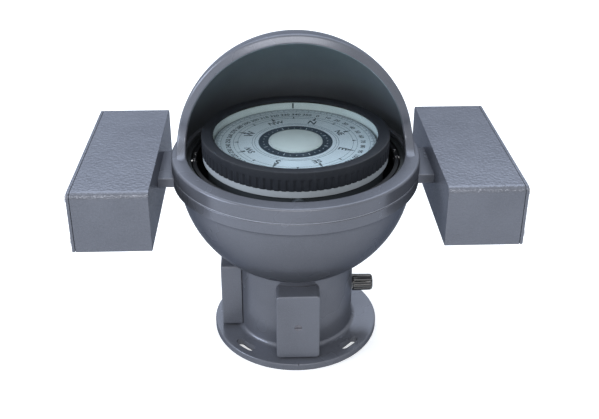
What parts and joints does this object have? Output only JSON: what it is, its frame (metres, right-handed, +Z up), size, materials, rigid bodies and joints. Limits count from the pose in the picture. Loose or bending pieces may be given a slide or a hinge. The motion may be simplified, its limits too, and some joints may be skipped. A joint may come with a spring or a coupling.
{
  "type": "marine magnetic compass",
  "caption": "Marine magnetic compass: gimballed liquid bowl in a round housing on a flanged pedestal, half-dome hood and a soft iron corrector box on each side.",
  "frame": {"origin": "centre of the mounting flange's underside", "axes": "+Z up, the reader stands at -Y and looks along +Y at the lubber line, +X to the reader's right"},
  "size_m": [0.3372, 0.198, 0.2605],
  "materials": {
    "grey_casting": "satin",
    "hammered_sheet": "satin",
    "pale_rubber": "matte",
    "black_rubber": "matte",
    "screw_metal": "satin",
    "pivot_metal": "polished",
    "soft_iron": "matte",
    "magnet_red": "satin",
    "brass_bright": "satin",
    "ballast_lead": "matte",
    "board_white": "matte",
    "opal_plastic": "satin",
    "black_plastic": "gloss",
    "dimmer_plastic": "matte",
    "black_metal": "satin",
    "cream_metal": "satin",
    "line_black": "matte",
    "clear_glass": "polished",
    "frosted_glass": "satin",
    "card_film": "satin",
    "cream_plastic": "matte",
    "jewel": "polished",
    "magnet_grey": "satin"
  },
  "bodies": {
    "binnacle": {"pedestal": "grey_casting", "housing": "grey_casting", "rim_gasket": "pale_rubber", "housing_screws": "screw_metal", "arm_left": "grey_casting", "arm_right": "grey_casting", "arm_screws": "screw_metal", "box_screws": "screw_metal", "corrector_cover_left": "hammered_sheet", "corrector_cover_right": "hammered_sheet", "corrector_base_left": "hammered_sheet", "corrector_base_right": "hammered_sheet", "end_plate_left": "hammered_sheet", "end_plate_right": "hammered_sheet", "end_plate_screws": "screw_metal", "soft_iron_left": "soft_iron", "soft_iron_right": "soft_iron", "clamp_bolts_left": "screw_metal", "clamp_bolts_right": "screw_metal", "front_cover": "hammered_sheet", "side_cover": "hammered_sheet", "magnet_cover_screws": "screw_metal", "fore_magnet_tubes": "brass_bright", "side_magnet_tubes": "brass_bright", "fore_magnets": "magnet_red", "side_magnets": "magnet_red", "heeling_tube": "brass_bright", "lamp_board": "board_white", "lamp_lens": "opal_plastic", "lamp_lead": "black_rubber", "dimmer_body": "dimmer_plastic", "dimmer_nut": "screw_metal", "outer_pivot_screws": "pivot_metal"},
    "hood": {"hood": "grey_casting"},
    "gimbal": {"gimbal_ring": "black_metal", "inner_pivot_screws": "pivot_metal", "pivot_lock_screws": "pivot_metal"},
    "bowl": {"bowl_body": "cream_metal", "bezel_ring": "black_metal", "top_glass": "clear_glass", "top_gasket": "black_rubber", "lubber_line": "line_black", "filler_plug": "brass_bright", "lower_glass": "frosted_glass", "lower_glass_ring": "brass_bright", "diaphragm": "brass_bright", "ballast_ring": "ballast_lead", "pivot_bridge": "brass_bright", "pivot_pin": "pivot_metal"},
    "card": {"compass_card": "card_film", "card_dome": "opal_plastic", "card_float": "cream_plastic", "card_cap": "jewel", "card_magnets": "magnet_grey"},
    "dimmer": {"dimmer_knob": "black_plastic", "dimmer_shaft": "screw_metal"},
    "heeling_unit": {"heeling_carrier": "cream_plastic", "heeling_magnet": "magnet_red"}
  },
  "joints": [
    {"name": "hood_lift", "type": "slide", "parent": "binnacle", "child": "hood", "axis": [0, 0, 1], "range_m": [0, 0.1]},
    {"name": "gimbal_tilt", "type": "hinge", "parent": "binnacle", "child": "gimbal", "pos_m": [0, 0, 0.15652], "axis": [1, 0, 0], "range_deg": [-40, 40]},
    {"name": "bowl_tilt", "type": "hinge", "parent": "gimbal", "child": "bowl", "pos_m": [0, 0, 0.15652], "axis": [0, 1, 0], "range_deg": [-40, 40]},
    {"name": "card_spin", "type": "hinge", "parent": "bowl", "child": "card", "pos_m": [0, 0, 0.165], "axis": [0, 0, 1], "continuous": true},
    {"name": "dimmer_turn", "type": "hinge", "parent": "binnacle", "child": "dimmer", "pos_m": [0.05, 0, 0.0372], "axis": [1, 0, 0], "range_deg": [0, 300]},
    {"name": "heeling_slide", "type": "slide", "parent": "binnacle", "child": "heeling_unit", "axis": [0, 0, 1], "range_m": [-0.012, 0.023]}
  ]
}
